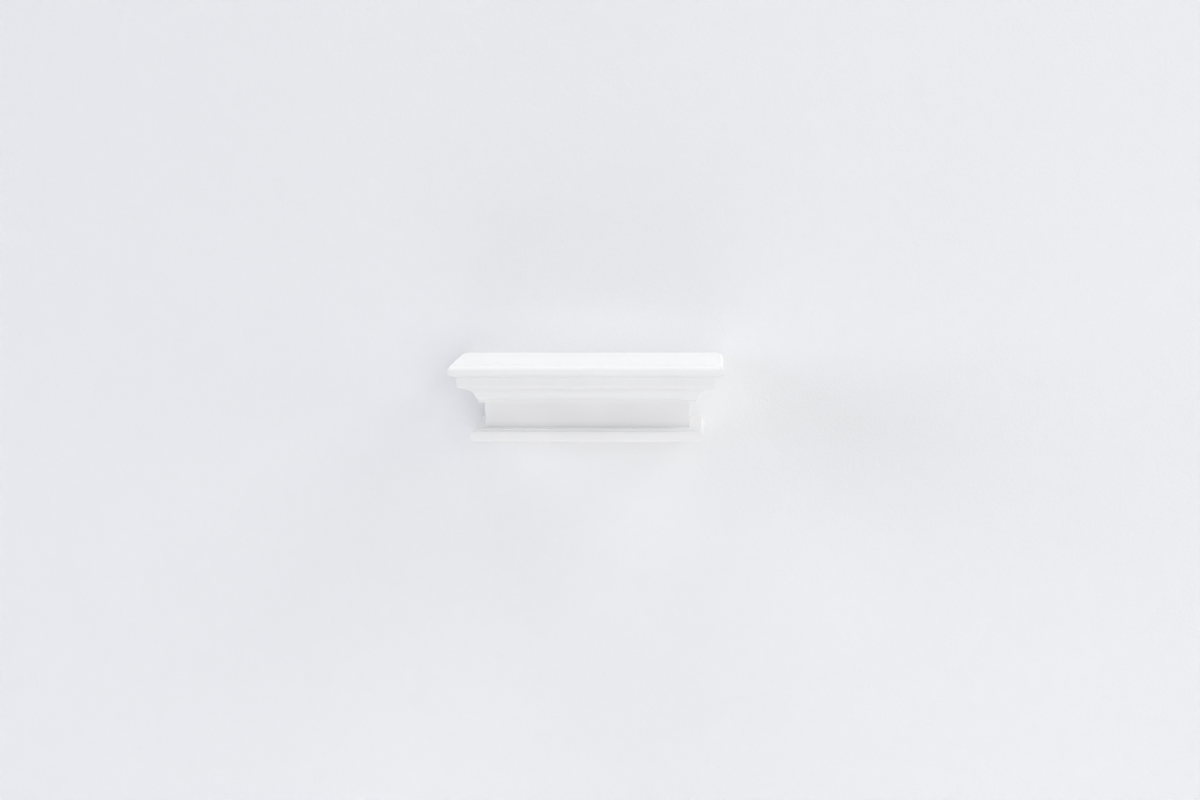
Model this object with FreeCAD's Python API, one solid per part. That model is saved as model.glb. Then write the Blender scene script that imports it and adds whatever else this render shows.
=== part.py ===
"""Wall shelf in the form of a classical cornice.

A moulded top board sits on a mitred box of thin boards. A crown moulding under the top board and a
base moulding round the foot run along the front and return to the wall at both ends. Inside, a
bevelled hanging rail hooks over a cleat that is screwed to the wall.

Millimetres. X runs along the wall, the wall is the plane y = 0 with the shelf in front of it at
negative y, and z = 0 is the line of the cleat's screw holes.

A moulding's section is drawn in two values: its inset, measured inwards from the outline of the top
board, and its height.
"""
import FreeCAD
import Part
import math
import os

os.makedirs("parts", exist_ok=True)

Vector = FreeCAD.Vector
UP = Vector(0, 0, 1)
ALONG_WALL = Vector(1, 0, 0)
OUT_OF_WALL = Vector(0, -1, 0)

# Top board
TOP_WIDTH = 400.0
TOP_DEPTH = 190.0
TOP_THICKNESS = 18.0
TOP_QUIRK_DEPTH = 1.2
TOP_QUIRK_LEDGE = 1.5
TOP_ROUND_OVER = 6.3
TOP_ARRIS_RADIUS = 2.5
TOP_BEVEL_SLOPE = 19.2

# Crown moulding, from the underside of the top board to its foot. Slopes are degrees below level.
CROWN_INSET = 12.0
CROWN_COVE_RADIUS = 1.5
CROWN_COVE_SLOPE = 30.0
CROWN_BAND_HEIGHT = 10.25
CROWN_ROLL_RADIUS = 5.5
CROWN_SOFFIT_SLOPE = 20.0
CROWN_SOFFIT_WIDTH = 13.0
CROWN_HOLLOW_RADIUS = 11.0
CROWN_STEEP_SLOPE = 70.0
CROWN_SWELL_RADIUS = 17.8
CROWN_SWELL_END_SLOPE = 35.0
CROWN_FILLET_STEP = 0.7
CROWN_FILLET_WEATHERING = 0.2
CROWN_FILLET_HEIGHT = 4.3
CROWN_FOOT_OVERHANG = 9.0
CROWN_TOP_BEARING = 20.0
CROWN_FOOT_BEARING = 13.0

# Base moulding, from its upper edge to the foot of the box
BASE_HEIGHT = 18.1
BASE_BEVEL = 1.6
BASE_LEDGE_WIDTH = 14.4
BASE_LEDGE_FALL = 0.3
BASE_ARRIS_HEIGHT = 0.2
BASE_QUIRK_DEPTH = 0.5
BASE_QUIRK_HEIGHT = 0.3
BASE_OVOLO_STEP = 0.5
BASE_OVOLO_RADIUS = 3.5
BASE_FOOT_RADIUS = 5.0

# Box
BOARD_THICKNESS = 12.0
FASCIA_SHOWING = 38.35
SUB_TOP_THICKNESS = 12.0
PANEL_THICKNESS = 6.0
PANEL_REBATE = 6.0
PANEL_CLEARANCE = 0.3
CORNER_BLOCK_LEG = 20.0

# Rails and wall cleat, bevelled at 45 degrees where they hook together
RAIL_THICKNESS = 12.0
RAIL_TIP_FLAT = 1.5
HANGING_RAIL_HEIGHT = 30.0
CLEAT_HEIGHT = 24.0
CLEAT_END_GAP = 13.0
LIFT_CLEARANCE = 2.0
WALL_HOLE_RADIUS = 2.5
WALL_HOLE_COUNT = 2
WALL_HOLE_PITCH = 180.0
WALL_SINK_RADIUS = 4.8

# Blocks behind the crown
CROWN_BLOCK_LENGTH = 30.0
CROWN_BLOCK_PITCH = 105.0
CROWN_BLOCK_COUNT = 3

# Countersunk wood screws
SCREW_RADIUS = 1.75
SCREW_HEAD_RADIUS = 3.5
SCREW_LENGTH = 26.0
SCREW_POINT_LENGTH = 3.0
SCREW_SLOT_DEPTH = 1.4
SCREW_SLOT_WIDTH = 0.9
SCREW_FIT = 0.1
TOP_SCREW_PITCH = 200.0
TOP_SCREW_COUNT = 2
TOP_SCREW_EDGE = 32.0
HANGER_SCREW_PITCH = 160.0
HANGER_SCREW_COUNT = 2

# Headless brads, square in section
PIN_WIDTH = 1.2
PIN_LENGTH = 18.0
PIN_FIT = 0.1
PIN_PITCH = 75.0
FRONT_PIN_COUNT = 4
RETURN_PIN_COUNT = 2
PIN_TO_CROWN_FOOT = 8.5
PIN_TO_BASE_FOOT = 7.5


def bend_size(radius, from_slope, to_slope):
    """How far inwards and how far down an arc goes as it turns from one slope to another."""
    start, end = math.radians(from_slope), math.radians(to_slope)
    return radius * abs(math.sin(end) - math.sin(start)), radius * abs(math.cos(end) - math.cos(start))


# Bends of the crown: width and drop of each
COVE = bend_size(CROWN_COVE_RADIUS, CROWN_COVE_SLOPE, 90)
ROLL = bend_size(CROWN_ROLL_RADIUS, 90, CROWN_SOFFIT_SLOPE)
HOLLOW = bend_size(CROWN_HOLLOW_RADIUS, CROWN_SOFFIT_SLOPE, CROWN_STEEP_SLOPE)
SWELL = bend_size(CROWN_SWELL_RADIUS, CROWN_STEEP_SLOPE, CROWN_SWELL_END_SLOPE)
SOFFIT_DROP = CROWN_SOFFIT_WIDTH * math.tan(math.radians(CROWN_SOFFIT_SLOPE))

# Heights of the main levels
BEVEL_FOOT = CLEAT_HEIGHT / 2
CLEAT_BOTTOM = -CLEAT_HEIGHT / 2
SUB_TOP_BOTTOM = BEVEL_FOOT + HANGING_RAIL_HEIGHT
BOX_TOP = SUB_TOP_BOTTOM + SUB_TOP_THICKNESS
TOP_PLANE = BOX_TOP + TOP_THICKNESS
CROWN_CYMA_FOOT = BOX_TOP - COVE[1] - CROWN_BAND_HEIGHT - ROLL[1] - SOFFIT_DROP - HOLLOW[1] - SWELL[1]
CROWN_FOOT = CROWN_CYMA_FOOT - CROWN_FILLET_WEATHERING - CROWN_FILLET_HEIGHT
BASE_TOP = CROWN_FOOT - FASCIA_SHOWING
BOX_FOOT = BASE_TOP - BASE_HEIGHT
LIFT_TRAVEL = RAIL_THICKNESS + LIFT_CLEARANCE
LOWER_RAIL_TOP = CLEAT_BOTTOM - LIFT_TRAVEL - LIFT_CLEARANCE

# Plan of the box
CYMA_FOOT_INSET = CROWN_INSET + ROLL[0] + CROWN_SOFFIT_WIDTH + HOLLOW[0] + SWELL[0]
FILLET_INSET = CYMA_FOOT_INSET - CROWN_FILLET_STEP
BOX_INSET = FILLET_INSET + CROWN_FOOT_OVERHANG
INNER_INSET = BOX_INSET + BOARD_THICKNESS
INNER_HALF_WIDTH = TOP_WIDTH / 2 - INNER_INSET
INNER_FRONT = INNER_INSET - TOP_DEPTH


class Pen:
    """Draws a closed section edge by edge, in inset and height."""

    def __init__(self, inset, height):
        self.start = Vector(0, inset, height)
        self.at = self.start
        self.edges = []

    def line(self, inset, height):
        end = Vector(0, inset, height)
        self.edges.append(Part.makeLine(self.at, end))
        self.at = end

    def drop(self, height):
        self.line(self.at.y, self.at.z - height)

    def arc(self, through, end):
        self.edges.append(Part.Arc(self.at, through, end).toShape())
        self.at = end

    def bend(self, radius, from_slope, to_slope):
        """An arc inwards and down that turns from one slope to another."""
        halfway = bend_size(radius, from_slope, (from_slope + to_slope) / 2)
        whole = bend_size(radius, from_slope, to_slope)
        start = self.at
        self.arc(start + Vector(0, halfway[0], -halfway[1]), start + Vector(0, whole[0], -whole[1]))

    def round_over(self, radius):
        """A quarter circle outwards and down."""
        halfway = bend_size(radius, 0, 45)
        start = self.at
        self.arc(start + Vector(0, -halfway[0], -halfway[1]), start + Vector(0, -radius, -radius))

    def face(self):
        self.edges.append(Part.makeLine(self.at, self.start))
        return Part.Face(Part.Wire(self.edges))


def box(x_range, y_range, z_range):
    size = [high - low for low, high in (x_range, y_range, z_range)]
    return Part.makeBox(*size, Vector(x_range[0], y_range[0], z_range[0]))


def along_front(section):
    """A section run along the whole front edge of the top board."""
    run = section.extrude(ALONG_WALL * TOP_WIDTH)
    run.translate(Vector(-TOP_WIDTH / 2, -TOP_DEPTH, 0))
    return run


def along_left(section):
    """The same section run along the left edge, from the front corner to the wall."""
    run = section.extrude(ALONG_WALL * TOP_DEPTH)
    run.rotate(Vector(0, 0, 0), UP, -90)
    run.translate(Vector(-TOP_WIDTH / 2, 0, 0))
    return run


def mirrored(shape):
    return shape.mirror(Vector(0, 0, 0), ALONG_WALL)


def prism(corners, low, high):
    """An upright prism over a plan given by its corners."""
    points = [Vector(x, y, low) for x, y in corners]
    return Part.Face(Part.makePolygon(points + points[:1])).extrude(UP * (high - low))


def mitred_runs(section):
    """Front run, left return and right return of one section, mitred at the front corners."""
    half = TOP_WIDTH / 2
    reach = section.BoundBox.YMax
    low, high = section.BoundBox.ZMin, section.BoundBox.ZMax
    front_plan = [(-half, -TOP_DEPTH), (half, -TOP_DEPTH),
                  (half - reach, reach - TOP_DEPTH), (reach - half, reach - TOP_DEPTH)]
    left_plan = [(-half, -TOP_DEPTH), (reach - half, reach - TOP_DEPTH), (reach - half, 0), (-half, 0)]
    front = along_front(section).common(prism(front_plan, low, high))
    left = along_left(section).common(prism(left_plan, low, high))
    return front, left, mirrored(left)


# Sections of the mouldings

def top_edge_section(width):
    """Section of the top board: a moulded edge and a plain board behind it, as wide as asked."""
    quirk_floor = TOP_PLANE - TOP_QUIRK_DEPTH
    bevel_end = CROWN_INSET - COVE[0]
    arris = bend_size(TOP_ARRIS_RADIUS, 90, TOP_BEVEL_SLOPE)
    bevel_top = BOX_TOP + (bevel_end - arris[0]) * math.tan(math.radians(TOP_BEVEL_SLOPE))
    pen = Pen(width, TOP_PLANE)
    pen.line(TOP_ROUND_OVER + TOP_QUIRK_LEDGE, TOP_PLANE)
    pen.drop(TOP_QUIRK_DEPTH)
    pen.line(TOP_ROUND_OVER, quirk_floor)
    pen.round_over(TOP_ROUND_OVER)
    pen.line(0, bevel_top + arris[1])
    pen.bend(TOP_ARRIS_RADIUS, 90, TOP_BEVEL_SLOPE)
    pen.line(bevel_end, BOX_TOP)
    pen.line(width, BOX_TOP)
    return pen.face()


def crown_section():
    """Cove, band, roll, soffit, cyma and fillet, with a sloping back like a sprung moulding."""
    lip = CROWN_INSET - COVE[0]
    pen = Pen(lip + CROWN_TOP_BEARING, BOX_TOP)
    pen.line(lip, BOX_TOP)
    pen.bend(CROWN_COVE_RADIUS, CROWN_COVE_SLOPE, 90)
    pen.drop(CROWN_BAND_HEIGHT)
    pen.bend(CROWN_ROLL_RADIUS, 90, CROWN_SOFFIT_SLOPE)
    pen.line(pen.at.y + CROWN_SOFFIT_WIDTH, pen.at.z - SOFFIT_DROP)
    pen.bend(CROWN_HOLLOW_RADIUS, CROWN_SOFFIT_SLOPE, CROWN_STEEP_SLOPE)
    pen.bend(CROWN_SWELL_RADIUS, CROWN_STEEP_SLOPE, CROWN_SWELL_END_SLOPE)
    pen.line(FILLET_INSET, CROWN_CYMA_FOOT - CROWN_FILLET_WEATHERING)
    pen.drop(CROWN_FILLET_HEIGHT)
    pen.line(BOX_INSET, CROWN_FOOT)
    pen.line(BOX_INSET, CROWN_FOOT + CROWN_FOOT_BEARING)
    return pen.face()


def base_section():
    """Bevel, ledge with a narrow arris, fine quirk, ovolo and a rounded foot."""
    bevel_inset = BOX_INSET - BASE_BEVEL
    arris_inset = bevel_inset - BASE_LEDGE_WIDTH
    pen = Pen(BOX_INSET, BASE_TOP)
    pen.line(bevel_inset, BASE_TOP - BASE_BEVEL)
    pen.line(arris_inset, pen.at.z - BASE_LEDGE_FALL)
    pen.drop(BASE_ARRIS_HEIGHT)
    pen.line(arris_inset + BASE_QUIRK_DEPTH, pen.at.z)
    pen.drop(BASE_QUIRK_HEIGHT)
    pen.line(arris_inset - BASE_OVOLO_STEP, pen.at.z)
    pen.round_over(BASE_OVOLO_RADIUS)
    pen.line(pen.at.y, BOX_FOOT + BASE_FOOT_RADIUS)
    pen.bend(BASE_FOOT_RADIUS, 90, 0)
    pen.line(BOX_INSET, BOX_FOOT)
    return pen.face()


def board_section():
    pen = Pen(BOX_INSET, BOX_TOP)
    pen.line(BOX_INSET, BOX_FOOT)
    pen.line(INNER_INSET, BOX_FOOT)
    pen.line(INNER_INSET, BOX_TOP)
    return pen.face()


def crown_block_section():
    """The triangle between the top board, the box and the sloping back of the crown."""
    pen = Pen(CROWN_INSET - COVE[0] + CROWN_TOP_BEARING, BOX_TOP)
    pen.line(BOX_INSET, CROWN_FOOT + CROWN_FOOT_BEARING)
    pen.line(BOX_INSET, BOX_TOP)
    return pen.face()


# Screws and pins

def spread(count, pitch):
    """Evenly pitched places, centred on zero."""
    return [(index - (count - 1) / 2) * pitch for index in range(count)]


def rod(head, direction, radius, length):
    return Part.makeCylinder(radius, length, head, direction)


def cross_slot():
    """The drive recess of a screw that points up, with its head at the origin."""
    across = Part.makeBox(2 * SCREW_RADIUS, SCREW_SLOT_WIDTH, SCREW_SLOT_DEPTH,
                          Vector(-SCREW_RADIUS, -SCREW_SLOT_WIDTH / 2, 0))
    along = across.copy()
    along.rotate(Vector(0, 0, 0), UP, 90)
    return across.fuse(along).removeSplitter()


def screw(head, direction):
    """Countersunk screw: sunk head with a cross slot, shank and point."""
    sink = SCREW_HEAD_RADIUS - SCREW_RADIUS
    shank_end = SCREW_LENGTH - SCREW_POINT_LENGTH
    outline = [(0, 0), (SCREW_HEAD_RADIUS, 0), (SCREW_RADIUS, sink), (SCREW_RADIUS, shank_end),
               (0, SCREW_LENGTH), (0, 0)]
    profile = Part.Face(Part.makePolygon([Vector(x, 0, z) for x, z in outline]))
    body = profile.revolve(Vector(0, 0, 0), UP, 360).cut(cross_slot())
    body.Placement = FreeCAD.Placement(head, FreeCAD.Rotation(UP, direction))
    return body


def screw_hole(head, direction):
    """Room for one screw, wider than it by the fit all round."""
    mouth = SCREW_HEAD_RADIUS + SCREW_FIT
    sink = SCREW_HEAD_RADIUS - SCREW_RADIUS
    hole = rod(head, direction, SCREW_RADIUS + SCREW_FIT, SCREW_LENGTH + SCREW_FIT)
    return hole.fuse(Part.makeCone(mouth, SCREW_RADIUS + SCREW_FIT, sink, head, direction))


def top_screw_places():
    """Screws that rise through the sub-top into the top board."""
    rows = (INNER_FRONT + TOP_SCREW_EDGE, -RAIL_THICKNESS - TOP_SCREW_EDGE)
    columns = spread(TOP_SCREW_COUNT, TOP_SCREW_PITCH)
    return [(Vector(x, y, SUB_TOP_BOTTOM), UP) for y in rows for x in columns]


def hanger_screw_places():
    """Screws that go down through the sub-top into the hanging rail."""
    columns = spread(HANGER_SCREW_COUNT, HANGER_SCREW_PITCH)
    return [(Vector(x, -RAIL_THICKNESS / 2, BOX_TOP), -UP) for x in columns]


def side_screw_places():
    """Screws through both side boards into the ends of the two rails."""
    outer = TOP_WIDTH / 2 - BOX_INSET
    bevel_top = BEVEL_FOOT + RAIL_THICKNESS
    heights = ((SUB_TOP_BOTTOM + bevel_top) / 2, (LOWER_RAIL_TOP + BOX_FOOT) / 2)
    return [(Vector(side * outer, -RAIL_THICKNESS / 2, z), ALONG_WALL * -side)
            for side in (-1, 1) for z in heights]


def pin_places(height):
    """Pins across the joint between a moulding and the box: front run, left and right return."""
    start = BOX_INSET - PIN_LENGTH / 2
    side = TOP_WIDTH / 2 - start
    middle = INNER_FRONT / 2
    front = [(Vector(x, start - TOP_DEPTH, height), -OUT_OF_WALL) for x in spread(FRONT_PIN_COUNT, PIN_PITCH)]
    left = [(Vector(-side, middle + y, height), ALONG_WALL) for y in spread(RETURN_PIN_COUNT, PIN_PITCH)]
    right = [(Vector(side, middle + y, height), -ALONG_WALL) for y in spread(RETURN_PIN_COUNT, PIN_PITCH)]
    return front + left + right


def brad(place, fit=0.0):
    """A square brad, or with a fit the room for it."""
    width = PIN_WIDTH + 2 * fit
    body = Part.makeBox(width, width, PIN_LENGTH + 2 * fit, Vector(-width / 2, -width / 2, -fit))
    body.Placement = FreeCAD.Placement(place[0], FreeCAD.Rotation(UP, place[1]))
    return body


TOP_SCREWS = top_screw_places()
HANGER_SCREWS = hanger_screw_places()
SIDE_SCREWS = side_screw_places()
CROWN_PINS = pin_places(CROWN_FOOT + PIN_TO_CROWN_FOOT)
BASE_PINS = pin_places(BOX_FOOT + PIN_TO_BASE_FOOT)
TOP_SCREW_HOLES = [screw_hole(*place) for place in TOP_SCREWS]
HANGER_SCREW_HOLES = [screw_hole(*place) for place in HANGER_SCREWS]
SIDE_SCREW_HOLES = [screw_hole(*place) for place in SIDE_SCREWS]
CROWN_PIN_HOLES = [brad(place, PIN_FIT) for place in CROWN_PINS]
BASE_PIN_HOLES = [brad(place, PIN_FIT) for place in BASE_PINS]


def reaching(shape, holes):
    """The holes whose boxes meet the shape's box."""
    return [hole for hole in holes if shape.BoundBox.intersect(hole.BoundBox)]


def bored(shape, holes):
    near = reaching(shape, holes)
    return shape.cut(near) if near else shape


# Pieces

def top_board():
    half = along_left(top_edge_section(TOP_WIDTH))
    board = along_front(top_edge_section(TOP_DEPTH)).common(half).common(mirrored(half))
    return bored(board, TOP_SCREW_HOLES)


def sub_top():
    panel = box((-INNER_HALF_WIDTH, INNER_HALF_WIDTH), (INNER_FRONT, 0), (SUB_TOP_BOTTOM, BOX_TOP))
    return bored(panel, TOP_SCREW_HOLES + HANGER_SCREW_HOLES)


def panel_seat():
    """The rebate round the foot of the box, which stops at the lower rail."""
    side = INNER_HALF_WIDTH + PANEL_REBATE
    return box((-side, side), (INNER_FRONT - PANEL_REBATE, -RAIL_THICKNESS),
               (BOX_FOOT, BOX_FOOT + PANEL_THICKNESS))


def bottom_panel():
    seat = panel_seat().BoundBox
    gap = PANEL_CLEARANCE
    return box((seat.XMin + gap, seat.XMax - gap), (seat.YMin + gap, seat.YMax - gap),
               (seat.ZMin, seat.ZMax))


def box_boards():
    holes = [panel_seat()] + SIDE_SCREW_HOLES + CROWN_PIN_HOLES + BASE_PIN_HOLES
    return [bored(board, holes) for board in mitred_runs(board_section())]


def hanging_rail():
    """Back rail whose lower edge is bevelled to hook behind the cleat."""
    pen = Pen(0, SUB_TOP_BOTTOM)
    pen.line(-RAIL_THICKNESS, SUB_TOP_BOTTOM)
    pen.line(-RAIL_THICKNESS, BEVEL_FOOT + RAIL_THICKNESS)
    pen.line(-RAIL_TIP_FLAT, BEVEL_FOOT + RAIL_TIP_FLAT)
    pen.line(0, BEVEL_FOOT + RAIL_TIP_FLAT)
    rail = pen.face().extrude(ALONG_WALL * 2 * INNER_HALF_WIDTH)
    rail.translate(ALONG_WALL * -INNER_HALF_WIDTH)
    return bored(rail, HANGER_SCREW_HOLES + SIDE_SCREW_HOLES)


def lower_rail():
    rail = box((-INNER_HALF_WIDTH, INNER_HALF_WIDTH), (-RAIL_THICKNESS, 0), (BOX_FOOT, LOWER_RAIL_TOP))
    return bored(rail, SIDE_SCREW_HOLES)


def wall_cleat():
    """Batten on the wall, bevelled to hold the hanging rail, with countersunk screw holes."""
    half_length = INNER_HALF_WIDTH - CLEAT_END_GAP
    tip = RAIL_THICKNESS - RAIL_TIP_FLAT
    pen = Pen(0, CLEAT_BOTTOM)
    pen.line(0, BEVEL_FOOT)
    pen.line(-tip, BEVEL_FOOT + tip)
    pen.line(-RAIL_THICKNESS, BEVEL_FOOT + tip)
    pen.line(-RAIL_THICKNESS, CLEAT_BOTTOM)
    cleat = pen.face().extrude(ALONG_WALL * 2 * half_length)
    cleat.translate(ALONG_WALL * -half_length)
    for x in spread(WALL_HOLE_COUNT, WALL_HOLE_PITCH):
        mouth = Vector(x, -RAIL_THICKNESS, 0)
        sink = WALL_SINK_RADIUS - WALL_HOLE_RADIUS
        cleat = cleat.cut(rod(mouth, -OUT_OF_WALL, WALL_HOLE_RADIUS, RAIL_THICKNESS))
        cleat = cleat.cut(Part.makeCone(WALL_SINK_RADIUS, WALL_HOLE_RADIUS, sink, mouth, -OUT_OF_WALL))
    return cleat


def corner_blocks():
    """Triangular glue blocks that stand in the front corners of the box."""
    corner = (-INNER_HALF_WIDTH, INNER_FRONT)
    plan = [corner, (corner[0] + CORNER_BLOCK_LEG, corner[1]), (corner[0], corner[1] + CORNER_BLOCK_LEG)]
    block = prism(plan, BOX_FOOT + PANEL_THICKNESS, SUB_TOP_BOTTOM)
    return [block, mirrored(block)]


def crown_blocks():
    """Blocks glued behind the crown: several along the front and one in each return."""
    block = crown_block_section().extrude(ALONG_WALL * CROWN_BLOCK_LENGTH)
    block.translate(ALONG_WALL * (-CROWN_BLOCK_LENGTH / 2))
    blocks = []
    for x in spread(CROWN_BLOCK_COUNT, CROWN_BLOCK_PITCH):
        front = block.copy()
        front.translate(Vector(x, -TOP_DEPTH, 0))
        blocks.append(front)
    left = block.copy()
    left.rotate(Vector(0, 0, 0), UP, -90)
    left.translate(Vector(-TOP_WIDTH / 2, INNER_FRONT / 2, 0))
    return blocks + [left, mirrored(left)]


def save(node, shapes):
    shapes = shapes if isinstance(shapes, list) else [shapes]
    solids = [solid for shape in shapes for solid in shape.Solids]
    whole = solids[0] if len(solids) == 1 else Part.makeCompound(solids)
    whole.exportStep(f"parts/{node}.step")
    print(f"{node}: {len(solids)} solid(s), {whole.Volume / 1000:.1f} cm3, valid {whole.isValid()}")


def main():
    front_board, left_side_board, right_side_board = box_boards()
    crown = [bored(run, CROWN_PIN_HOLES) for run in mitred_runs(crown_section())]
    base = [bored(run, BASE_PIN_HOLES) for run in mitred_runs(base_section())]
    save("top_board", top_board())
    save("sub_top", sub_top())
    save("front_board", front_board)
    save("left_side_board", left_side_board)
    save("right_side_board", right_side_board)
    save("bottom_panel", bottom_panel())
    save("crown_front", crown[0])
    save("crown_left_return", crown[1])
    save("crown_right_return", crown[2])
    save("base_front", base[0])
    save("base_left_return", base[1])
    save("base_right_return", base[2])
    save("hanging_rail", hanging_rail())
    save("lower_rail", lower_rail())
    save("wall_cleat", wall_cleat())
    save("corner_blocks", corner_blocks())
    save("crown_blocks", crown_blocks())
    save("top_screws", [screw(*place) for place in TOP_SCREWS])
    save("hanger_screws", [screw(*place) for place in HANGER_SCREWS])
    save("side_screws", [screw(*place) for place in SIDE_SCREWS])
    save("crown_pins", [brad(place) for place in CROWN_PINS])
    save("base_pins", [brad(place) for place in BASE_PINS])


main()
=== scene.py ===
"""Looks of a small wall shelf in the form of a classical cornice.

The painted boards and mouldings, the rails and the cleat are built here with softly eased arrises, and
stand for the CAD nodes that they name. The sub-top, blocks, screws and pins keep their CAD shapes.
Sections are drawn in millimetres, in two values: the inset from the outline of the top board, and the
height. Slopes are in degrees: 0 is level and 90 is plumb.
"""
import math

import bmesh
import bpy
from mathutils import Euler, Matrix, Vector


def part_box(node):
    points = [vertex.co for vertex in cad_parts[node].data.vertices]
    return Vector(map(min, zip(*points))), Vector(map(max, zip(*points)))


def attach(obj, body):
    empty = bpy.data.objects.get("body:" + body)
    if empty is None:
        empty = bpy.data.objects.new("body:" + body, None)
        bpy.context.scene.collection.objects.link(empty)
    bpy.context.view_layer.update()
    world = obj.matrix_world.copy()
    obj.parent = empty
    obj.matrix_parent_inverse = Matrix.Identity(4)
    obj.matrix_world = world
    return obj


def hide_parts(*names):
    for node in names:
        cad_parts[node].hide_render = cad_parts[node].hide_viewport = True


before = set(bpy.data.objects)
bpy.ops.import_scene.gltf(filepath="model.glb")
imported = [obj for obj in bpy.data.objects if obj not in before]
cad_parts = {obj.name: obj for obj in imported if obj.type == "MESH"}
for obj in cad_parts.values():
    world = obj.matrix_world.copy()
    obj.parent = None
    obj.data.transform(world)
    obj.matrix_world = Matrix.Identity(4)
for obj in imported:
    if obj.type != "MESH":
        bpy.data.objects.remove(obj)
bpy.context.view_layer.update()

MM = 0.001
TO_WALL = Vector((0.0, 1.0, 0.0))
TO_RIGHT = Vector((1.0, 0.0, 0.0))


def box_mm(node):
    """Lowest and highest corner of a CAD node, in millimetres."""
    low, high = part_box(node)
    return low / MM, high / MM


top_low, top_high = box_mm("top_board")
crown_low, crown_high = box_mm("crown_front")
side_low, side_high = box_mm("right_side_board")
base_high = box_mm("base_front")[1]
rail_low = box_mm("hanging_rail")[0]

# The boards are built without screw holes, so their outer faces lie this far behind the flat heads of
# the side screws. With no clearance the two would coincide, and the heads would show as dark rings.
HEAD_CLEARANCE = 0.00004

# Plan of the shelf and its main levels, from the CAD
HALF_WIDTH = top_high.x
DEPTH = -top_low.y
TOP_PLANE = top_high.z
BOX_TOP = top_low.z
BOX_FOOT = side_low.z
BOX_INSET = HALF_WIDTH - side_high.x + HEAD_CLEARANCE
BOARD_THICKNESS = side_high.x - side_low.x
INNER_HALF_WIDTH = HALF_WIDTH - BOX_INSET - BOARD_THICKNESS
INNER_FRONT = BOX_INSET + BOARD_THICKNESS - DEPTH

# Edge of the top board, with a strip of the flat top beside it
FLAT_STRIP = 1.0
QUIRK_LEDGE = 1.5
QUIRK_DEPTH = 1.2
ROUND_OVER = 6.3
LOWER_ARC = 2.5
UNDER_SLOPE = 19.2

# Crown moulding
CROWN_INSET = HALF_WIDTH - crown_high.x
CROWN_FOOT = crown_low.z
CROWN_COVE_RADIUS = 1.5
CROWN_COVE_SLOPE = 30
CROWN_BAND_HEIGHT = 10.25
CROWN_ROLL_RADIUS = 5.5
CROWN_SOFFIT_SLOPE = 20
CROWN_SOFFIT_WIDTH = 13.0
CROWN_HOLLOW_RADIUS = 11.0
CROWN_STEEP_SLOPE = 70
CROWN_SWELL_RADIUS = 17.8
CROWN_SWELL_END_SLOPE = 35
CROWN_FILLET_WEATHERING = 0.2
CROWN_FOOT_OVERHANG = 9.0
CROWN_TOP_BEARING = 20.0
CROWN_FOOT_BEARING = 13.0

# Base moulding. The level and the fall of its ledge are the scene's own: the CAD solid's ledge lies
# lower and slopes less, and meets its front edge with a bevel.
BASE_TOP = -23.6
BASE_INSET = HALF_WIDTH - base_high.x
BASE_LEDGE_FALL = 0.95
BASE_FILLET_HEIGHT = 2.4
BASE_QUIRK_DEPTH = 0.5
BASE_QUIRK_HEIGHT = 0.35
BASE_QUIRK_BEVEL = 0.1
BASE_OVOLO_STEP = 0.5
BASE_OVOLO_RADIUS = 3.5
BASE_FOOT_RADIUS = 5.0

# Softening by sanding and paint
CORNER_RADIUS = 0.35
ARRIS_RADIUS = 0.4
PAINT_FILLET = 0.6
GLUE_DEPTH = 0.1
END_CHAMFER = 0.15

# How finely the meshes are divided, and their limits
CORNER_STEPS = 3
ARRIS_STEPS = 4
ARRIS_SHARE = 0.45
LEAST_TURN = 20.0
BEND_STEP = 9.0
SHARP_ANGLE = 40.0
SPIKE_LIMIT = 0.4
SAME_PLACE = 0.01

# Box: the paint's laps, the open joint over the base, and the rebate for the bottom panel
PAINT_UNDER_CROWN = 2.0
PAINT_UNDER_FOOT = 4.0
JOINT_HEIGHT = 0.5
JOINT_DEPTH = 0.3
REBATE = 6.0
OVERCUT = 1.0
PANEL_ARRIS = 0.35
DOWNWARDS = -0.1

# Rails and cleat
RAIL_THICKNESS = -rail_low.y
RAIL_TIP_FLAT = 1.5
BAR_ARRIS = 0.8
WALL_HOLE_PITCH = 180.0
WALL_HOLE_RADIUS = 2.5
WALL_SINK_RADIUS = 4.8
HOLE_FLARE = 0.5
HOLE_FLARE_START = 0.3
HOLE_OVERCUT = 0.2
HOLE_SIDES = 40

# CAD solids that stay
WELD_DISTANCE = 0.002
PLAIN_ANGLE = 1.0

# Paint: how high the painted shade reaches over the base's ledge, and the share of that in which it begins
PAINTED_SHADE_HEIGHT = 9.0
PAINTED_SHADE_START = 0.01

# Stage. The hollows' outline is the right half of the patch of wall behind them: inset and height.
WALL_Y = 0.1
SHORT_RAY = 1.0
HOLLOW_OUTLINE = [(33.0, 53.0), (33.0, 32.0), (38.0, 27.0), (51.0, 27.0), (51.0, BOX_FOOT + 1.0)]
BACKGROUND = (0.85, 0.855, 0.875, 1.0)

WHITE_PAINT = "white_paint"
BARE_BOARD = "bare_board"
ZINC_STEEL = "zinc_steel"

BLACK = (0.0, 0.0, 0.0)
WHITE = (1.0, 1.0, 1.0)


# Sections

def bend_points(radius, from_slope, to_slope):
    """Steps inwards and down along an arc that turns from one slope to another."""
    count = max(2, round(abs(to_slope - from_slope) / BEND_STEP))
    start = math.radians(from_slope)
    steps = []
    for index in range(1, count + 1):
        now = math.radians(from_slope + (to_slope - from_slope) * index / count)
        steps.append((radius * abs(math.sin(now) - math.sin(start)),
                      radius * abs(math.cos(now) - math.cos(start))))
    return steps


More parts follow.
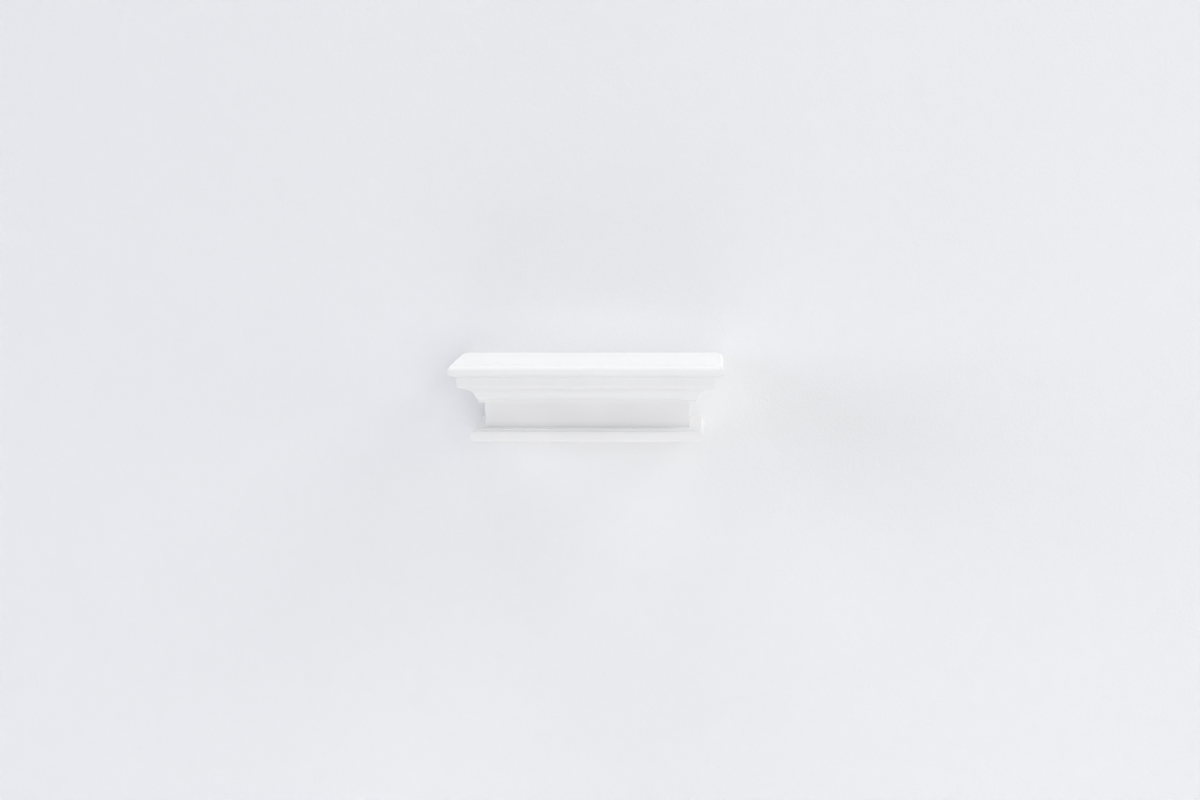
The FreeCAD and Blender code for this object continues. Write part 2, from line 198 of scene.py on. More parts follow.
class Pen:
    """Collects the points of a section."""

    def __init__(self, inset, height):
        self.points = [(inset, height)]

    def line(self, inset, height):
        self.points.append((inset, height))

    def shift(self, inwards, down):
        inset, height = self.points[-1]
        self.line(inset + inwards, height - down)

    def drop(self, down):
        self.shift(0.0, down)

    def bend(self, radius, from_slope, to_slope):
        inset, height = self.points[-1]
        for inwards, down in bend_points(radius, from_slope, to_slope):
            self.line(inset + inwards, height - down)

    def round_over(self, radius):
        """A quarter circle outwards and down."""
        inset, height = self.points[-1]
        for outwards, down in bend_points(radius, 0, 90):
            self.line(inset - outwards, height - down)


def ease_corner(before, corner, after, radius):
    """The points that replace a corner by a small arc, or the corner itself where it hardly turns."""
    corner_point = Vector(corner)
    to_before = Vector(before) - corner_point
    to_after = Vector(after) - corner_point
    turn = math.pi - to_before.angle(to_after)
    if turn < math.radians(LEAST_TURN):
        return [corner]
    longest = ARRIS_SHARE * min(to_before.length, to_after.length)
    reach = min(radius * math.tan(turn / 2), longest)
    start = corner_point + to_before.normalized() * reach
    end = corner_point + to_after.normalized() * reach
    arc = []
    for index in range(ARRIS_STEPS + 1):
        share = index / ARRIS_STEPS
        inner = start.lerp(corner_point, share)
        outer = corner_point.lerp(end, share)
        arc.append(tuple(inner.lerp(outer, share)))
    return arc


def eased(points):
    """An open run of section points with every corner between its ends softened."""
    soft = [points[0]]
    for before, corner, after in zip(points, points[1:], points[2:]):
        soft += ease_corner(before, corner, after, ARRIS_RADIUS)
    return soft + [points[-1]]


def top_edge():
    """Quirk, round-over, short straight edge and bevel of the top board."""
    slope = math.radians(UNDER_SLOPE)
    bevel_width = CROWN_INSET - LOWER_ARC * (1 - math.sin(slope))
    face_foot = BOX_TOP + bevel_width * math.tan(slope) + LOWER_ARC * math.cos(slope)
    pen = Pen(ROUND_OVER + QUIRK_LEDGE + FLAT_STRIP, TOP_PLANE)
    pen.shift(-FLAT_STRIP, 0.0)
    pen.drop(QUIRK_DEPTH)
    pen.line(ROUND_OVER, TOP_PLANE - QUIRK_DEPTH)
    pen.round_over(ROUND_OVER)
    pen.line(0.0, face_foot)
    pen.bend(LOWER_ARC, 90, UNDER_SLOPE)
    pen.line(CROWN_INSET, BOX_TOP)
    return eased(pen.points)


def crown_face():
    """Cove, band, roll, soffit, hollow, swell and fillet."""
    fillet_inset = BOX_INSET - CROWN_FOOT_OVERHANG
    pen = Pen(CROWN_INSET, BOX_TOP)
    pen.bend(CROWN_COVE_RADIUS, CROWN_COVE_SLOPE, 90)
    pen.drop(CROWN_BAND_HEIGHT)
    pen.bend(CROWN_ROLL_RADIUS, 90, CROWN_SOFFIT_SLOPE)
    pen.shift(CROWN_SOFFIT_WIDTH, CROWN_SOFFIT_WIDTH * math.tan(math.radians(CROWN_SOFFIT_SLOPE)))
    pen.bend(CROWN_HOLLOW_RADIUS, CROWN_SOFFIT_SLOPE, CROWN_STEEP_SLOPE)
    pen.bend(CROWN_SWELL_RADIUS, CROWN_STEEP_SLOPE, CROWN_SWELL_END_SLOPE)
    pen.line(fillet_inset, pen.points[-1][1] - CROWN_FILLET_WEATHERING)
    pen.line(fillet_inset, CROWN_FOOT)
    pen.line(BOX_INSET - GLUE_DEPTH / 2, CROWN_FOOT)
    pen.line(BOX_INSET + GLUE_DEPTH, CROWN_FOOT - PAINT_FILLET)
    return eased(pen.points)


def crown_back():
    """The crown's bearings on the box and on the top board, with the hollow's slope between them."""
    return [(BOX_INSET + GLUE_DEPTH, CROWN_FOOT + CROWN_FOOT_BEARING),
            (CROWN_INSET + CROWN_TOP_BEARING, BOX_TOP)]


def base_face():
    """Sloping ledge, fillet, fine quirk, ovolo and rounded foot."""
    pen = Pen(BOX_INSET + GLUE_DEPTH, BASE_TOP + GLUE_DEPTH)
    pen.line(BASE_INSET + BASE_OVOLO_RADIUS + BASE_OVOLO_STEP, BASE_TOP - BASE_LEDGE_FALL)
    pen.drop(BASE_FILLET_HEIGHT)
    pen.shift(BASE_QUIRK_DEPTH, BASE_QUIRK_BEVEL)
    pen.drop(BASE_QUIRK_HEIGHT)
    pen.shift(-BASE_QUIRK_DEPTH - BASE_OVOLO_STEP, BASE_QUIRK_BEVEL)
    pen.round_over(BASE_OVOLO_RADIUS)
    pen.line(BASE_INSET, BOX_FOOT + BASE_FOOT_RADIUS)
    pen.bend(BASE_FOOT_RADIUS, 90, 0)
    pen.line(BOX_INSET + GLUE_DEPTH, BOX_FOOT)
    return eased(pen.points)


# Meshes and objects

def mirrored(points):
    """The same points on the other side of the middle, in backward order."""
    return [(-x, y) for x, y in reversed(points)]


def corner_arc(inset, start, end):
    """Plan points round the front left corner, from the return (0 degrees) to the front run (90)."""
    centre_x = -(HALF_WIDTH - inset) + CORNER_RADIUS
    centre_y = -(DEPTH - inset) + CORNER_RADIUS
    points = []
    for index in range(CORNER_STEPS + 1):
        angle = math.radians(start + (end - start) * index / CORNER_STEPS)
        points.append((centre_x - CORNER_RADIUS * math.cos(angle),
                       centre_y - CORNER_RADIUS * math.sin(angle)))
    return points


def left_plan(inset):
    """From the wall to the mitre of the left return."""
    return [(-(HALF_WIDTH - inset), -END_CHAMFER)] + corner_arc(inset, 0, 45)


def front_plan(inset):
    """From mitre to mitre along the front."""
    half = corner_arc(inset, 45, 90)
    return half + mirrored(half)


def right_plan(inset):
    """From the mitre of the right return to the wall."""
    return mirrored(left_plan(inset))


def whole_plan(inset):
    """From the wall round the front and back to the wall."""
    half = left_plan(inset) + corner_arc(inset, 45, 90)[1:]
    return half + mirrored(half)


def grid_faces(bm, rings, closed):
    """Quads between neighbouring rings of vertices. Returns them by their place in the ring."""
    size = len(rings[0])
    faces = {}
    for near, far in zip(rings, rings[1:]):
        for k in range(size if closed else size - 1):
            following = (k + 1) % size
            face = bm.faces.new((near[k], near[following], far[following], far[k]))
            faces.setdefault(k, []).append(face)
    return faces


def section_rings(bm, profile, plan):
    """One ring of vertices for each station of the plan."""
    columns = [plan(inset) for inset, _ in profile]
    rings = []
    for station in range(len(columns[0])):
        ring = []
        for column, (_, height) in zip(columns, profile):
            x, y = column[station]
            ring.append(bm.verts.new((x * MM, y * MM, height * MM)))
        rings.append(ring)
    return rings


def close_end(bm, ring, outwards, bare_from=0):
    """Closes an end with a small chamfer: painted beside painted faces, and bare across the end."""
    points = [vertex.co.copy() for vertex in ring]
    turn = sum((a - points[0]).cross(b - points[0]).dot(outwards) for a, b in zip(points[1:], points[2:]))
    side = outwards if turn > 0 else -outwards
    inner = []
    for before, point, after in zip(points[-1:] + points[:-1], points, points[1:] + points[:1]):
        first = side.cross(point - before).normalized()
        second = side.cross(after - point).normalized()
        step = (first + second) / max(SPIKE_LIMIT, 1.0 + first.dot(second))
        inner.append(bm.verts.new(point + (step + outwards) * END_CHAMFER * MM))
    faces = grid_faces(bm, [ring, inner], closed=True)
    for k, (face,) in faces.items():
        face.material_index = 0 if k < bare_from else 1
    bm.faces.new(inner).material_index = 1


def block(low, high):
    """The start of a mesh: a block between two corners, in metres."""
    bm = bmesh.new()
    bmesh.ops.create_cube(bm, size=1.0)
    for vertex in bm.verts:
        for axis in range(3):
            vertex.co[axis] = low[axis] if vertex.co[axis] < 0 else high[axis]
    return bm


def mesh_of(bm, name):
    """Ends a mesh and frees what it was made from."""
    mesh = bpy.data.meshes.new(name)
    bm.to_mesh(mesh)
    bm.free()
    return mesh


def placed(name, data):
    """A new object in the scene."""
    obj = bpy.data.objects.new(name, data)
    bpy.context.scene.collection.objects.link(obj)
    return obj


def keep_faces_flat(obj):
    """Turns the shading of rounded arrises to the large faces beside them."""
    normals = obj.modifiers.new("flat_faces", "WEIGHTED_NORMAL")
    normals.keep_sharp = True


def finished(bm, name, node, body="shelf", finish=(WHITE_PAINT, BARE_BOARD)):
    """Turns the mesh into the piece that stands for a CAD node."""
    bmesh.ops.recalc_face_normals(bm, faces=bm.faces)
    mesh = mesh_of(bm, name)
    mesh.shade_smooth()
    mesh.set_sharp_from_angle(angle=math.radians(SHARP_ANGLE))
    for material in finish:
        mesh.materials.append(materials[material])
    obj = placed(name, mesh)
    keep_faces_flat(obj)
    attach(obj, body)
    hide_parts(node)
    return obj


def moulding(name, node, face_points, back_points, plan):
    """A run of moulding: painted along its face, bare along its back and at its cut ends."""
    bm = bmesh.new()
    rings = section_rings(bm, face_points + back_points, plan)
    faces = grid_faces(bm, rings, closed=True)
    painted = len(face_points) - 1
    for k in range(painted, len(face_points) + len(back_points)):
        for face in faces[k]:
            face.material_index = 1
    for ring in (rings[0], rings[-1]):
        if abs(ring[0].co.y + END_CHAMFER * MM) < SAME_PLACE * MM:
            close_end(bm, ring, TO_WALL, painted)
        else:
            bm.faces.new(ring).material_index = 1
    return finished(bm, name, node)


def three_runs(stem, nodes, face_points, back_points):
    """Left return, front run and right return of one section."""
    runs = []
    for part, node, plan in zip(("left", "front", "right"), nodes, (left_plan, front_plan, right_plan)):
        runs.append(moulding(f"{stem}_{part}", node, face_points, back_points, plan))
    return runs


def top_board():
    """One board: moulded edge on three sides, flat top and underside, bare edge at the wall."""
    bm = bmesh.new()
    rings = section_rings(bm, top_edge(), whole_plan)
    grid_faces(bm, rings, closed=False)
    bm.faces.new([ring[0] for ring in rings])
    bm.faces.new([ring[-1] for ring in rings]).material_index = 1
    back = rings[0][::-1] + rings[-1]
    close_end(bm, back, TO_WALL, len(back) - 1)
    finished(bm, "shelf_top", "top_board")


# Nodes of the materials

materials = {}


def new_material(name):
    """A material with its node tree, its shader and the coordinates of the object at rest."""
    material = bpy.data.materials.new(name)
    material.use_nodes = True
    tree = material.node_tree
    shader = tree.nodes["Principled BSDF"]
    place = tree.nodes.new("ShaderNodeTexCoord").outputs["Object"]
    materials[name] = material
    return tree, shader, place


def stretched(tree, place, scale, location=(0.0, 0.0, 0.0)):
    """Coordinates scaled along each axis, and then moved."""
    mapping = tree.nodes.new("ShaderNodeMapping")
    mapping.inputs["Location"].default_value = location
    mapping.inputs["Scale"].default_value = scale
    tree.links.new(place, mapping.inputs["Vector"])
    return mapping.outputs["Vector"]


def noise(tree, vector, scale, detail=3.0, roughness=0.5):
    """A noise of the given scale, in ripples to the metre."""
    texture = tree.nodes.new("ShaderNodeTexNoise")
    texture.inputs["Scale"].default_value = scale
    texture.inputs["Detail"].default_value = detail
    texture.inputs["Roughness"].default_value = roughness
    tree.links.new(vector, texture.inputs["Vector"])
    return texture.outputs["Fac"]


def ramp(tree, value, stops):
    """A colour ramp with the given places and colours."""
    node = tree.nodes.new("ShaderNodeValToRGB")
    elements = node.color_ramp.elements
    while len(elements) < len(stops):
        elements.new(0.5)
    for element, (place, colour) in zip(elements, stops):
        element.position = place
        element.color = (*colour, 1.0)
    tree.links.new(value, node.inputs["Fac"])
    return node.outputs["Color"]


def clouded(tree, cloud, low, high):
    """A colour that wanders between two tones with a noise."""
    return ramp(tree, cloud, [(0.3, low), (0.7, high)])


def between(tree, value, low, high):
    """Maps a value from 0..1 to low..high."""
    node = tree.nodes.new("ShaderNodeMapRange")
    node.inputs["To Min"].default_value = low
    node.inputs["To Max"].default_value = high
    tree.links.new(value, node.inputs["Value"])
    return node.outputs["Result"]


def risen(tree, place, low, high):
    """How far a point has risen between two heights in metres, from 0 to 1."""
    axes = tree.nodes.new("ShaderNodeSeparateXYZ")
    tree.links.new(place, axes.inputs["Vector"])
    node = tree.nodes.new("ShaderNodeMapRange")
    node.inputs["From Min"].default_value = low
    node.inputs["From Max"].default_value = high
    tree.links.new(axes.outputs["Z"], node.inputs["Value"])
    return node.outputs["Result"]


def mixed(tree, share, first, second):
    """A mix of two colours by a share."""
    node = tree.nodes.new("ShaderNodeMix")
    node.data_type = "RGBA"
    tree.links.new(share, node.inputs["Factor"])
    tree.links.new(first, node.inputs["A"])
    tree.links.new(second, node.inputs["B"])
    return node.outputs["Result"]


def larger(tree, first, second):
    """The larger of two values."""
    node = tree.nodes.new("ShaderNodeMath")
    node.operation = "MAXIMUM"
    tree.links.new(first, node.inputs[0])
    tree.links.new(second, node.inputs[1])
    return node.outputs["Value"]


def bumped(tree, shader, height, depth, before=None):
    """Adds a bump of the given depth in millimetres, on top of an earlier one."""
    node = tree.nodes.new("ShaderNodeBump")
    node.inputs["Strength"].default_value = 1.0
    node.inputs["Distance"].default_value = depth * MM
    tree.links.new(height, node.inputs["Height"])
    if before is not None:
        tree.links.new(before, node.inputs["Normal"])
    tree.links.new(node.outputs["Normal"], shader.inputs["Normal"])
    return node.outputs["Normal"]


def mix_surface(tree, share, first, second, output):
    """Shows a mix of two shaders by a share."""
    node = tree.nodes.new("ShaderNodeMixShader")
    tree.links.new(share, node.inputs["Fac"])
    tree.links.new(first, node.inputs[1])
    tree.links.new(second, node.inputs[2])
    tree.links.new(node.outputs["Shader"], tree.nodes[output].inputs["Surface"])


# Materials

def paint_material():
    """Satin white paint: faint cloudiness, a fine sprayed skin, and painted shade in the corner over the
    base.
    """
    tree, shader, place = new_material(WHITE_PAINT)
    cloud = noise(tree, place, scale=14.0, detail=4.0)
    unshaded_paint = clouded(tree, cloud, low=(0.842, 0.842, 0.837), high=(0.86, 0.86, 0.855))
    # Painted shade: a darker copy of the paint, strongest just over the base's ledge and fading upwards.
    painted_shade_tone = clouded(tree, cloud, low=(0.755, 0.755, 0.75), high=(0.775, 0.775, 0.77))
    height = risen(tree, place, low=BASE_TOP * MM, high=(BASE_TOP + PAINTED_SHADE_HEIGHT) * MM)
    dust_and_painted_shade = ramp(tree, height, [(0.0, BLACK), (PAINTED_SHADE_START, WHITE), (1.0, BLACK)])
    tree.links.new(mixed(tree, dust_and_painted_shade, unshaded_paint, painted_shade_tone), shader.inputs["Base Color"])
    sheen = noise(tree, place, scale=60.0, detail=2.0)
    tree.links.new(between(tree, sheen, low=0.46, high=0.58), shader.inputs["Roughness"])
    shader.inputs["Specular IOR Level"].default_value = 0.4
    skin = noise(tree, place, scale=900.0, detail=2.0)
    sweep = noise(tree, stretched(tree, place, (0.05, 1.0, 1.0)), scale=500.0, detail=2.0)
    lower = bumped(tree, shader, skin, depth=0.04)
    bumped(tree, shader, sweep, depth=0.03, before=lower)


def board_material():
    """Bare fibreboard: short pale and dark fibres, faint saw lines and a thin dusting of primer."""
    tree, shader, place = new_material(BARE_BOARD)
    fibre = noise(tree, place, scale=700.0, detail=5.0, roughness=0.7)
    dark = (0.30, 0.20, 0.115)
    brown = (0.44, 0.31, 0.19)
    pale = (0.60, 0.46, 0.31)
    wood = ramp(tree, fibre, [(0.3, dark), (0.5, brown), (0.72, pale)])
    speckle = noise(tree, place, scale=170.0, detail=6.0, roughness=0.7)
    dust_and_painted_shade = ramp(tree, speckle, [(0.48, BLACK), (0.75, (0.34, 0.34, 0.34))])
    primer = ramp(tree, fibre, [(0.0, (0.74, 0.73, 0.70)), (1.0, (0.84, 0.83, 0.81))])
    tree.links.new(mixed(tree, dust_and_painted_shade, wood, primer), shader.inputs["Base Color"])
    tree.links.new(between(tree, fibre, low=0.75, high=0.95), shader.inputs["Roughness"])
    saw = noise(tree, stretched(tree, place, (1.0, 1.0, 0.04)), scale=800.0, detail=2.0)
    lower = bumped(tree, shader, saw, depth=0.12)
    bumped(tree, shader, fibre, depth=0.2, before=lower)


def softwood_material(name, heart, along, tone):
    """Planed softwood: growth rings round a heart line, cut lengthwise, with darker late wood."""
    tree, shader, place = new_material(name)
    lengthwise = tuple(0.05 if axis == along else 1.0 for axis in "XYZ")
    wander = noise(tree, stretched(tree, place, lengthwise), scale=9.0)
    rings = tree.nodes.new("ShaderNodeTexWave")
    rings.wave_type = "RINGS"
    rings.rings_direction = along
    rings.wave_profile = "SAW"
    rings.inputs["Scale"].default_value = 62.0
    rings.inputs["Distortion"].default_value = 2.2
    rings.inputs["Detail"].default_value = 3.0
    rings.inputs["Detail Scale"].default_value = 0.25
    tree.links.new(stretched(tree, place, lengthwise, heart), rings.inputs["Vector"])
    tree.links.new(between(tree, wander, low=-3.0, high=3.0), rings.inputs["Phase Offset"])
    late = [tone * level for level in (0.58, 0.385, 0.205)]
    early = [tone * level for level in (0.80, 0.635, 0.43)]
    middle = [tone * level for level in (0.745, 0.57, 0.37)]
    pore = [0.86 * level for level in middle]
    wood = ramp(tree, rings.outputs["Fac"], [(0.0, early), (0.55, middle), (0.93, late), (1.0, early)])
    fleck = noise(tree, stretched(tree, place, lengthwise), scale=700.0, roughness=0.6)
    flecked = ramp(tree, fleck, [(0.35, pore), (0.6, early)])
    weight = between(tree, noise(tree, place, scale=30.0), low=0.15, high=0.45)
    tree.links.new(mixed(tree, weight, wood, flecked), shader.inputs["Base Color"])
    fine = noise(tree, stretched(tree, place, lengthwise), scale=1400.0, roughness=0.6)
    tree.links.new(between(tree, fine, low=0.5, high=0.7), shader.inputs["Roughness"])
    bumped(tree, shader, fine, depth=0.1)


def zinc_material():
    """Zinc-plated steel with a faint yellow bloom."""
    tree, shader, place = new_material(ZINC_STEEL)
    bloom = noise(tree, place, scale=420.0, detail=4.0)
    colour = clouded(tree, bloom, low=(0.66, 0.65, 0.60), high=(0.78, 0.74, 0.62))
    tree.links.new(colour, shader.inputs["Base Color"])
    tree.links.new(between(tree, bloom, low=0.28, high=0.5), shader.inputs["Roughness"])
    shader.inputs["Metallic"].default_value = 1.0
    bumped(tree, shader, bloom, depth=0.02)


# Box boards and bottom panel

def sawn(obj, cutter_mesh):
    """Cuts a closed mesh out of an object."""
    cutter = placed("cutter", cutter_mesh)
    saw = obj.modifiers.new("saw", "BOOLEAN")
    saw.object = cutter
    saw.operation = "DIFFERENCE"
    saw.solver = "EXACT"
    saw.material_mode = "INDEX"
    obj.modifiers.move(len(obj.modifiers) - 1, 0)
    bpy.context.view_layer.update()
    with bpy.context.temp_override(object=obj, active_object=obj, selected_objects=[obj]):
        bpy.ops.object.modifier_apply(modifier="saw")
    bpy.data.objects.remove(cutter)


def box_boards():
    """The three mitred boards, with a fine open joint over the base and the rebate for the panel."""
    inner_inset = BOX_INSET + BOARD_THICKNESS
    outside = [(BOX_INSET, CROWN_FOOT + PAINT_UNDER_CROWN),
               (BOX_INSET, BASE_TOP + JOINT_HEIGHT),
               (BOX_INSET + JOINT_DEPTH, BASE_TOP + JOINT_HEIGHT / 2),
               (BOX_INSET, BASE_TOP),
               (BOX_INSET, BOX_FOOT),
               (BOX_INSET + PAINT_UNDER_FOOT, BOX_FOOT)]
    inside = [(inner_inset, BOX_FOOT), (inner_inset, BOX_TOP), (BOX_INSET, BOX_TOP)]
    side = INNER_HALF_WIDTH + REBATE
    front = INNER_FRONT - REBATE
    low = Vector((-side, front, BOX_FOOT - OVERCUT)) * MM
    high = Vector((side, -RAIL_THICKNESS, BOX_FOOT + REBATE)) * MM
    for board in three_runs("box", ("left_side_board", "front_board", "right_side_board"),
                            eased(outside), inside):
        sawn(board, mesh_of(block(low, high), "rebate"))


def bottom_panel():
    """Thin panel in the rebate, painted below and bare above, with broken edges."""
    bm = block(*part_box("bottom_panel"))
    bmesh.ops.bevel(bm, geom=bm.edges[:], offset=PANEL_ARRIS * MM, segments=3, profile=0.5, affect="EDGES")
    for face in bm.faces:
        face.material_index = 1 if face.normal.z > DOWNWARDS else 0
    finished(bm, "box_floor", "bottom_panel")


# Rails and cleat

def bar(name, node, corners, body, material):
    """A planed bar along the wall. Its section is given by distance from the wall and height."""
    loop = corners[-1:] + corners + corners[:1]
    section = []
    for before, corner, after in zip(loop, loop[1:], loop[2:]):
        section += ease_corner(before, corner, after, BAR_ARRIS)
    half_length = box_mm(node)[1].x
    bm = bmesh.new()
    rings = []
    for x in (END_CHAMFER - half_length, half_length - END_CHAMFER):
        rings.append([bm.verts.new((x * MM, -out * MM, height * MM)) for out, height in section])
    grid_faces(bm, rings, closed=True)
    close_end(bm, rings[0], -TO_RIGHT)
    close_end(bm, rings[1], TO_RIGHT)
    for face in bm.faces:
        face.material_index = 0
    return finished(bm, name, node, body, (material,))


def bore(cleat, x):
    """Bores one countersunk hole for a wall screw through the cleat, from its front to the wall."""
    front = -RAIL_THICKNESS
    outline = [(WALL_SINK_RADIUS + OVERCUT, front - OVERCUT),
               (WALL_HOLE_RADIUS, front + WALL_SINK_RADIUS - WALL_HOLE_RADIUS),
               (WALL_HOLE_RADIUS, -HOLE_FLARE_START),
               (WALL_HOLE_RADIUS + HOLE_FLARE, HOLE_OVERCUT)]
    bm = bmesh.new()
    rings = []
    for radius, y in outline:
        ring = []
        for index in range(HOLE_SIDES):
            angle = 2 * math.pi * index / HOLE_SIDES
            ring.append(bm.verts.new(((x + radius * math.cos(angle)) * MM, y * MM,
                                      radius * math.sin(angle) * MM)))
        rings.append(ring)
    grid_faces(bm, rings, closed=True)
    bm.faces.new(rings[0])
    bm.faces.new(rings[-1])
    bmesh.ops.recalc_face_normals(bm, faces=bm.faces)
    sawn(cleat, mesh_of(bm, "drill"))


def rails_and_cleat():
    """Hanging rail and cleat hook together at 45 degrees; the lower rail keeps the shelf plumb."""
    thick = RAIL_THICKNESS
    tip = thick - RAIL_TIP_FLAT
    hanging_foot, hanging_top = (corner.z for corner in box_mm("hanging_rail"))
    lower_foot, lower_top = (corner.z for corner in box_mm("lower_rail"))
    cleat_foot, cleat_top = (corner.z for corner in box_mm("wall_cleat"))
    bevel_foot = hanging_foot - RAIL_TIP_FLAT
    bar("rail_hanging", "hanging_rail",
        [(0.0, hanging_top), (thick, hanging_top), (thick, bevel_foot + thick),
         (RAIL_TIP_FLAT, hanging_foot), (0.0, hanging_foot)], "shelf", "softwood_hanging")
    bar("rail_lower", "lower_rail",
        [(0.0, lower_foot), (thick, lower_foot), (thick, lower_top), (0.0, lower_top)],
        "shelf", "softwood_lower")
    cleat = bar("cleat", "wall_cleat",
                [(0.0, cleat_foot), (thick, cleat_foot), (thick, cleat_top), (tip, cleat_top),
                 (0.0, bevel_foot)], "wall_mount", "softwood_cleat")
    for x in (-WALL_HOLE_PITCH / 2, WALL_HOLE_PITCH / 2):
        bore(cleat, x)


# CAD solids that stay

def dress(node, material, softening):
    """Gives a CAD node its material and breaks its sharp edges by a few tenths of a millimetre."""
    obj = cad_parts[node]
    obj.data.materials.clear()
    obj.data.materials.append(materials[material])
    joined = obj.modifiers.new("joined", "WELD")
    joined.merge_threshold = WELD_DISTANCE * MM
    plain = obj.modifiers.new("plain_faces", "DECIMATE")
    plain.decimate_type = "DISSOLVE"
    plain.angle_limit = math.radians(PLAIN_ANGLE)
    edges = obj.modifiers.new("broken_edges", "BEVEL")
    edges.width = softening * MM
    edges.segments = 2
    edges.limit_method = "ANGLE"
    edges.angle_limit = math.radians(SHARP_ANGLE)
    edges.harden_normals = True
    keep_faces_flat(obj)


# Stage

def stage_piece(name, mesh, material):
    """A piece of the surroundings, which isn't part of the object."""
    mesh.materials.append(materials[material])
    obj = placed(name, mesh)
    return obj


def background_rays(tree):
    """1 for rays that show the background: from the camera, off gloss and through glass."""
    path = tree.nodes.new("ShaderNodeLightPath")
    share = path.outputs["Is Camera Ray"]
    for kind in ("Is Glossy Ray", "Is Transmission Ray"):
        share = larger(tree, share, path.outputs[kind])
    return share


def wall_material():
    """Rolled wall paint, seen from the front only, so that the shelf's back can be looked at.

    It also lets rays of under a millimetre through, so that light reaches the back edges of the shelf.
    """
    tree, shader, place = new_material("wall_paint")
    cloud = noise(tree, place, scale=1.2)
    colour = clouded(tree, cloud, low=(0.83, 0.835, 0.845), high=(0.845, 0.85, 0.86))
    tree.links.new(colour, shader.inputs["Base Color"])
    shader.inputs["Roughness"].default_value = 0.8
    shader.inputs["Specular IOR Level"].default_value = 0.2
    bumped(tree, shader, noise(tree, place, scale=230.0, roughness=0.6), depth=0.6)
    from_behind = tree.nodes.new("ShaderNodeNewGeometry").outputs["Backfacing"]
    near = tree.nodes.new("ShaderNodeMath")
    near.operation = "LESS_THAN"
    near.inputs[1].default_value = SHORT_RAY * MM
    tree.links.new(tree.nodes.new("ShaderNodeLightPath").outputs["Ray Length"], near.inputs[0])
    see_through = larger(tree, from_behind, near.outputs["Value"])
    clear = tree.nodes.new("ShaderNodeBsdfTransparent")
    mix_surface(tree, see_through, shader.outputs["BSDF"], clear.outputs["BSDF"], "Material Output")


def floor_material():
    """Pale floor. It shows the background's colour, with a small share of its own that keeps shadows."""
    tree, shader, place = new_material("pale_floor")
    cloud = noise(tree, place, scale=2.0)
    colour = clouded(tree, cloud, low=(0.80, 0.80, 0.795), high=(0.82, 0.82, 0.815))
    tree.links.new(colour, shader.inputs["Base Color"])
    shader.inputs["Roughness"].default_value = 0.9
    pale = tree.nodes.new("ShaderNodeEmission")
    pale.inputs["Color"].default_value = BACKGROUND
    share = between(tree, background_rays(tree), low=0.0, high=0.95)
    mix_surface(tree, share, shader.outputs["BSDF"], pale.outputs["Emission"], "Material Output")


def wall_piece(name, outlines):
    """A flat piece of wall between outlines given by distance to the right and height in metres."""
    bm = bmesh.new()
    edges = []
    for outline in outlines:
        corners = [bm.verts.new((x, WALL_Y * MM, z)) for x, z in outline]
        edges += [bm.edges.new(pair) for pair in zip(corners, corners[1:] + corners[:1])]
    bmesh.ops.triangle_fill(bm, edges=edges, use_beauty=True, normal=-TO_WALL)
    for face in bm.faces:
        if face.normal.y > 0:
            face.normal_flip()
    return stage_piece(name, mesh_of(bm, name), "wall_paint")


def wall(level, reach, height):
    """The wall, and the patch of it behind the hollows, which lets light reach the shelf's back."""
    half = [((HALF_WIDTH - inset) * MM, z * MM) for inset, z in HOLLOW_OUTLINE]
    window = half + mirrored(half)
    wall_piece("wall", [[(-reach, level), (reach, level), (reach, height), (-reach, height)], window])
    patch = wall_piece("wall_patch", [window])
    patch.visible_diffuse = False
    patch.visible_glossy = False
    patch.visible_shadow = False
    patch.visible_transmission = False


def stage():
    """A wide wall and floor, in metres."""
    reach = 40.0
    floor_level = -2.6
    ceiling = 12.0
    wall_material()
    floor_material()
    wall(floor_level, reach, ceiling)
    mesh = bpy.data.meshes.new("floor")
    corners = [(-reach, -reach), (reach, -reach), (reach, reach), (-reach, reach)]
    mesh.from_pydata([(x, y, floor_level) for x, y in corners], [], [(0, 1, 2, 3)])
    stage_piece("floor", mesh, "pale_floor")


# Lights and camera

def lamp(name, azimuth, elevation, distance, size, power, colour=WHITE, glossy=True):
    """A square area lamp aimed at the shelf, in degrees, metres and watts.

    Azimuth 0 is straight in front, and 90 is to the right.
    """
    turn = math.radians(azimuth)
    lift = math.radians(elevation)
    place = Vector((math.cos(lift) * math.sin(turn), -math.cos(lift) * math.cos(turn), math.sin(lift)))
    light = bpy.data.lights.new(name, "AREA")
    light.shape = "SQUARE"
    light.size = size
    light.energy = power
    light.color = colour
    obj = placed(name, light)
    obj.location = place * distance
    obj.rotation_euler = (-place).to_track_quat("-Z", "Y").to_euler()
    obj.visible_camera = False
    obj.visible_glossy = glossy


def room():
    """Light from all sides, with a pale backdrop where the surroundings are seen."""
    world = bpy.data.worlds.new("room")
    bpy.context.scene.world = world
    world.use_nodes = True
    tree = world.node_tree
    glow = tree.nodes["Background"]
    glow.inputs["Color"].default_value = (0.972, 0.978, 1.05, 1.0)
    glow.inputs["Strength"].default_value = 0.335
    backdrop = tree.nodes.new("ShaderNodeBackground")
    backdrop.inputs["Color"].default_value = BACKGROUND
    mix_surface(tree, background_rays(tree), glow.outputs["Background"], backdrop.outputs["Background"],
                "World Output")


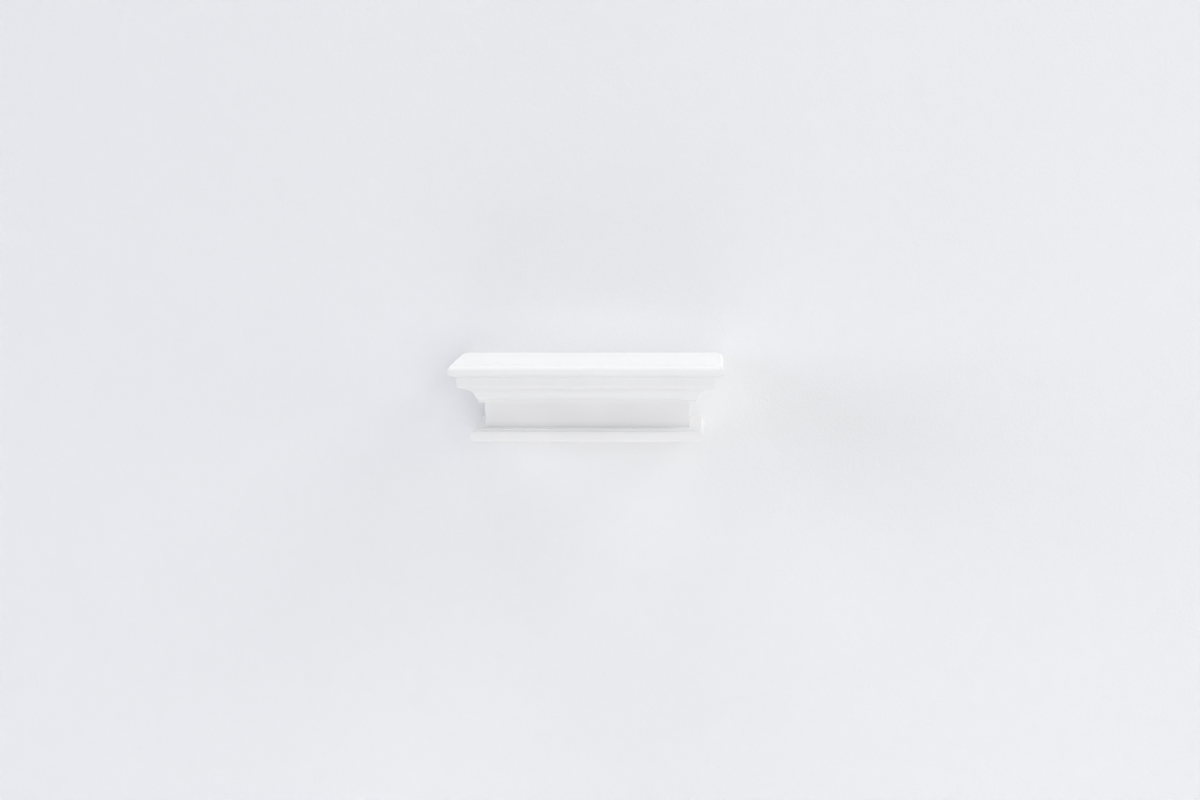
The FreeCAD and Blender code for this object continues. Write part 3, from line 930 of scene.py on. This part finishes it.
def lamps():
    """Soft lamps. Those at the sides aren't mirrored, which keeps the top board from glaring."""
    cool = (0.97, 0.97, 1.06)
    warm = (1.035, 1.015, 0.95)
    lamp("right", 75, 0, distance=6.0, size=3.0, power=64.0, colour=warm, glossy=False)
    lamp("right_high", 75, 42, distance=6.0, size=3.0, power=118.0, glossy=False)
    lamp("right_front", 45, 25, distance=6.0, size=3.0, power=16.0, colour=warm)
    lamp("left", -75, 12, distance=6.0, size=3.0, power=145.0, colour=cool, glossy=False)
    lamp("front", 15, 0, distance=6.0, size=3.0, power=80.0)
    lamp("overhead", -60, 80, distance=5.0, size=2.5, power=88.0)
    lamp("under", 0, -65, distance=2.7, size=2.0, power=11.0)
    lamp("behind_wall", 173, 20, distance=2.6, size=2.0, power=40.0)


def camera():
    """Above the shelf and a little to its right, with a long lens. Its turns are in degrees."""
    turns = (83.0568, 0.2713, 2.4881)
    data = bpy.data.cameras.new("camera")
    data.sensor_width = 36.0
    data.lens = 68.347
    obj = placed("camera", data)
    obj.location = (0.165, -3.455, 0.4205)
    obj.rotation_euler = Euler([math.radians(turn) for turn in turns])
    bpy.context.scene.camera = obj


paint_material()
board_material()
zinc_material()
softwood_material("softwood_hanging", heart=(0.0, 0.030, -0.052), along="X", tone=1.0)
softwood_material("softwood_cleat", heart=(0.0, 0.022, 0.034), along="X", tone=0.95)
softwood_material("softwood_lower", heart=(0.0, -0.018, 0.071), along="X", tone=1.03)
softwood_material("softwood_front_blocks", heart=(0.0, 0.21, -0.045), along="X", tone=0.98)
softwood_material("softwood_corner_blocks", heart=(0.13, 0.15, 0.0), along="Z", tone=0.96)

top_board()
three_runs("crown", ("crown_left_return", "crown_front", "crown_right_return"), crown_face(), crown_back())
three_runs("base", ("base_left_return", "base_front", "base_right_return"), base_face(), [])
box_boards()
bottom_panel()
rails_and_cleat()
dress("corner_blocks", "softwood_corner_blocks", softening=0.6)
dress("crown_blocks", "softwood_front_blocks", softening=0.6)
dress("sub_top", BARE_BOARD, softening=0.3)
for fastener in ("top_screws", "hanger_screws", "side_screws", "crown_pins", "base_pins"):
    dress(fastener, ZINC_STEEL, softening=0.1)

stage()
room()
lamps()
camera()
bpy.context.scene.view_settings.view_transform = "Standard"
